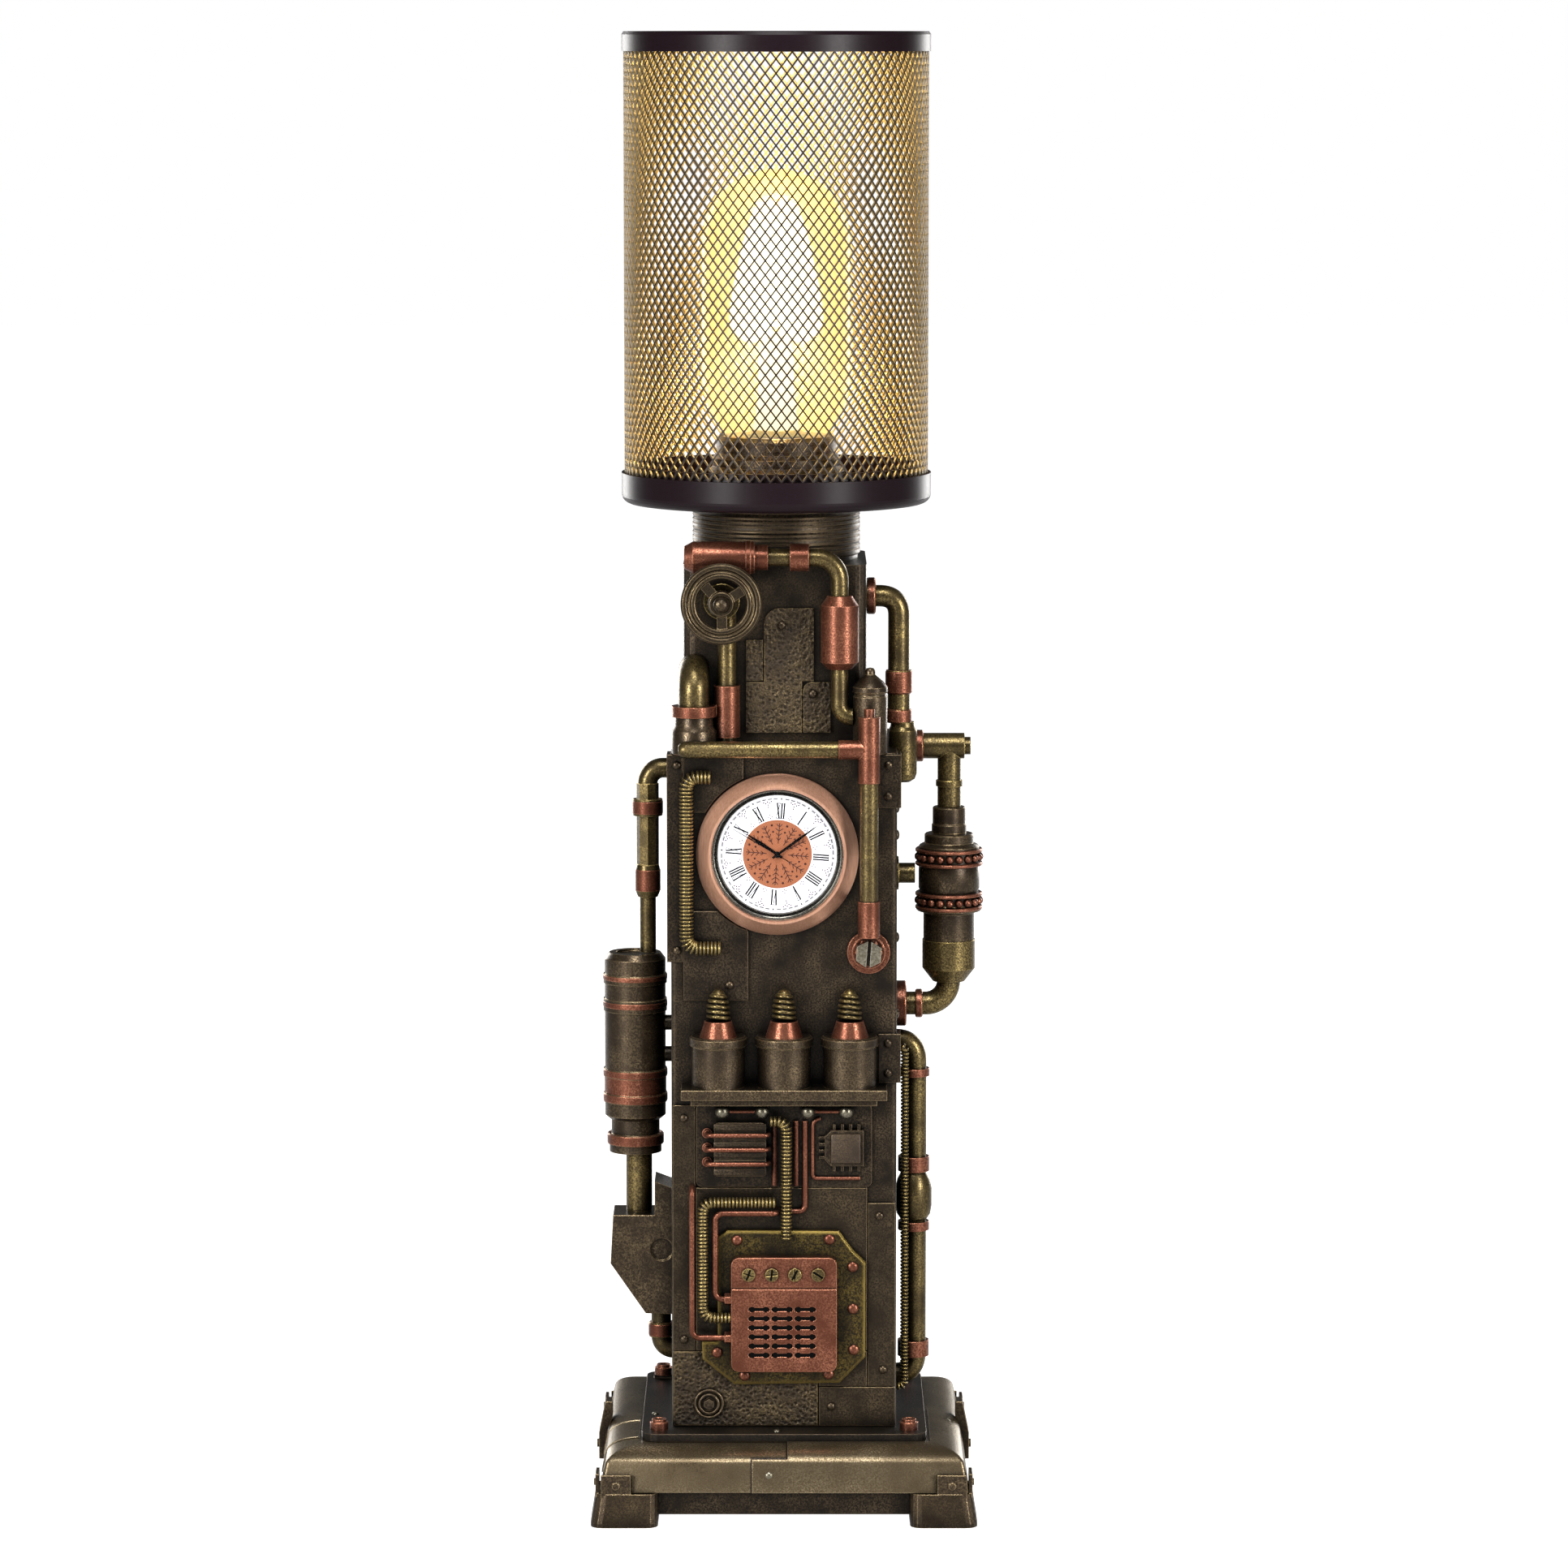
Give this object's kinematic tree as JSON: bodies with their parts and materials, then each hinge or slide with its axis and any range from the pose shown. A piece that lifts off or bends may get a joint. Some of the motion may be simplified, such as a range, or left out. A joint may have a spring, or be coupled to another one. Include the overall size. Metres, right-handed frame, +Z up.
{
  "type": "tower clock lamp",
  "caption": "Riveted square tower lamp on a stepped base, with a round clock, pipework, a handwheel valve, canisters, a mesh shade and an amber bulb.",
  "frame": {"origin": "centre of the square base on the surface it stands on", "axes": "+Z up the tower, -Y towards the clock's side, +X towards the valve"},
  "size_m": [0.1014, 0.0992, 0.3803],
  "materials": {
    "dark_bronze": "aged dry-brushed",
    "light_bronze": "aged dry-brushed",
    "copper": "worn satin",
    "aged_brass": "worn satin",
    "black_iron": "satin",
    "dull_steel": "satin",
    "black_rubber": "matte",
    "black_plastic": "matte",
    "black_enamel": "gloss",
    "gilt_mesh": "satin",
    "amber_glass": "clear gloss",
    "lit_filament": "glowing",
    "brushed_copper": "brushed",
    "clear_glass": "polished",
    "dial_paper": "matte printed"
  },
  "bodies": {
    "tower": {"base_casting": "dark_bronze", "corner_feet": "dark_bronze", "base_clips": "aged_brass", "base_top_plate": "black_iron", "plate_bolts": "copper", "bottom_cover": "black_iron", "cord_grommet": "black_rubber", "tower_shell": "dark_bronze", "neck_drum": "dark_bronze", "lower_plates": "light_bronze", "clock_plates": "dark_bronze", "upper_plates": "light_bronze", "plate_rivets": "copper", "porthole_bolt": "dark_bronze", "canister_shelf": "light_bronze", "canisters": "light_bronze", "canister_cones": "copper", "canister_coils": "aged_brass", "circuit_panel": "dark_bronze", "coil_block": "dark_bronze", "circuit_chip": "black_iron", "terminal_balls": "dull_steel", "panel_wires": "copper", "panel_pipes": "copper", "spring_hoses": "aged_brass", "gasket_frame": "light_bronze", "grille_box": "copper", "box_screws": "aged_brass", "clock_pipes": "aged_brass", "pipe_fittings": "copper", "upper_elbows": "aged_brass", "upper_fittings": "copper", "hanging_cylinder": "copper", "upper_canister": "light_bronze", "upper_right_pipes": "aged_brass", "valve_arm": "aged_brass", "valve_body": "aged_brass", "valve_elbow": "aged_brass", "right_riser": "aged_brass", "riser_rings": "copper", "left_pipe": "aged_brass", "left_cylinder": "dark_bronze", "bracket_block": "dark_bronze", "left_drain": "aged_brass", "shade_pan": "black_enamel", "socket_plinth": "light_bronze", "lamp_holder": "black_plastic"},
    "shade": {"shade_mesh": "gilt_mesh", "shade_rim": "black_enamel"},
    "bulb": {"bulb_glass": "amber_glass", "bulb_stem": "lit_filament", "bulb_cap": "dull_steel"},
    "clock_insert": {"clock_bezel": "brushed_copper", "clock_lens": "clear_glass", "clock_dial": "dial_paper", "clock_case": "black_plastic"},
    "hour_arm": {"hour_hand": "black_iron"},
    "minute_arm": {"minute_hand": "black_iron"},
    "second_arm": {"second_hand": "black_iron"},
    "wheel": {"handwheel": "aged_brass"}
  },
  "joints": [
    {"name": "shade_lift", "type": "slide", "parent": "tower", "child": "shade", "axis": [0, 0, 1], "range_m": [0, 0.12]},
    {"name": "bulb_turn", "type": "hinge", "parent": "tower", "child": "bulb", "pos_m": [-0.002, 0, 0.27], "axis": [0, 0, 1], "continuous": true},
    {"name": "clock_pull", "type": "slide", "parent": "tower", "child": "clock_insert", "axis": [0, -1, 0], "range_m": [0, 0.03]},
    {"name": "second_turn", "type": "hinge", "parent": "clock_insert", "child": "second_arm", "pos_m": [-0.0017, -0.029, 0.1713], "axis": [0, 1, 0], "continuous": true},
    {"name": "minute_turn", "type": "hinge", "parent": "clock_insert", "child": "minute_arm", "pos_m": [-0.0017, -0.029, 0.1713], "axis": [0, 1, 0], "continuous": true},
    {"name": "hour_turn", "type": "hinge", "parent": "clock_insert", "child": "hour_arm", "pos_m": [-0.0017, -0.029, 0.1713], "axis": [0, 1, 0], "continuous": true},
    {"name": "wheel_turn", "type": "hinge", "parent": "tower", "child": "wheel", "pos_m": [-0.0159, -0.0344, 0.2362], "axis": [0, -1, 0], "continuous": true}
  ],
  "couplings": [
    {"joint": "minute_turn", "follows": "second_turn", "ratio": 0.016667},
    {"joint": "hour_turn", "follows": "second_turn", "ratio": 0.0013889}
  ]
}
